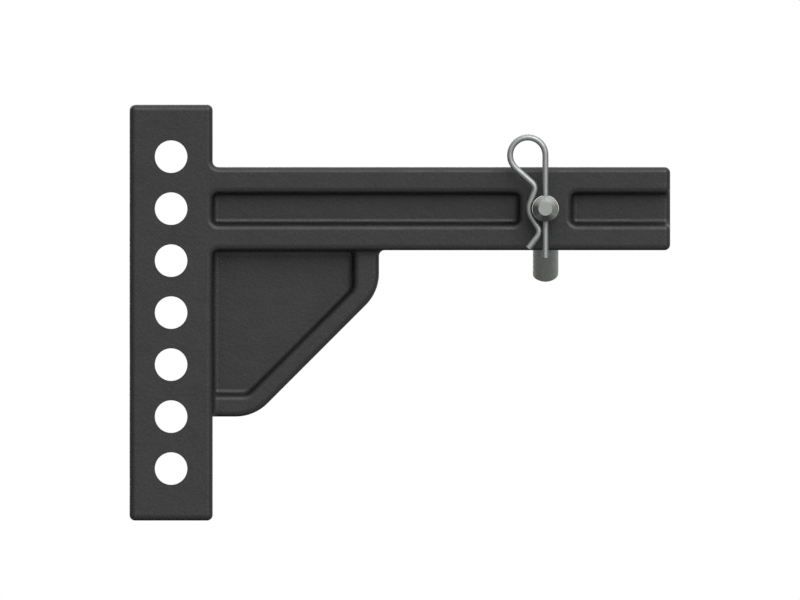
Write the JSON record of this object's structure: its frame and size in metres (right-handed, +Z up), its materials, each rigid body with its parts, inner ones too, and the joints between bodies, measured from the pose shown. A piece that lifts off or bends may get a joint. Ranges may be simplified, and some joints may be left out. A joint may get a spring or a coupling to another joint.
{
  "type": "hitch shank",
  "caption": "Adjustable hitch shank: a square receiver bar with recessed sides, a gusset and an upright bar of bolt holes, with a bent pin and spring clip.",
  "frame": {"origin": "where the shank's centre line crosses the axis of its pin hole", "axes": "+X along the shank towards the end that goes into the receiver, +Z up along the bar, -Y towards the side where the clip is fitted"},
  "size_m": [0.3302, 0.1367, 0.254],
  "materials": {
    "powder_coat": "satin black powder coat on forged steel",
    "pin_zinc": "clear zinc plate on steel bar",
    "clip_zinc": "bright zinc plate on spring wire"
  },
  "bodies": {
    "shank": {"hitch_shank": "powder_coat"},
    "pin": {"hitch_pin": "pin_zinc"},
    "clip": {"spring_clip": "clip_zinc"}
  },
  "joints": [
    {"name": "pin_slide", "type": "slide", "parent": "shank", "child": "pin", "axis": [0, 1, 0], "range_m": [-0.0124, 0.0124]},
    {"name": "clip_pull", "type": "slide", "parent": "pin", "child": "clip", "axis": [0, 0, 1], "range_m": [0, 0.06], "deforming": ["spring_clip"]}
  ]
}
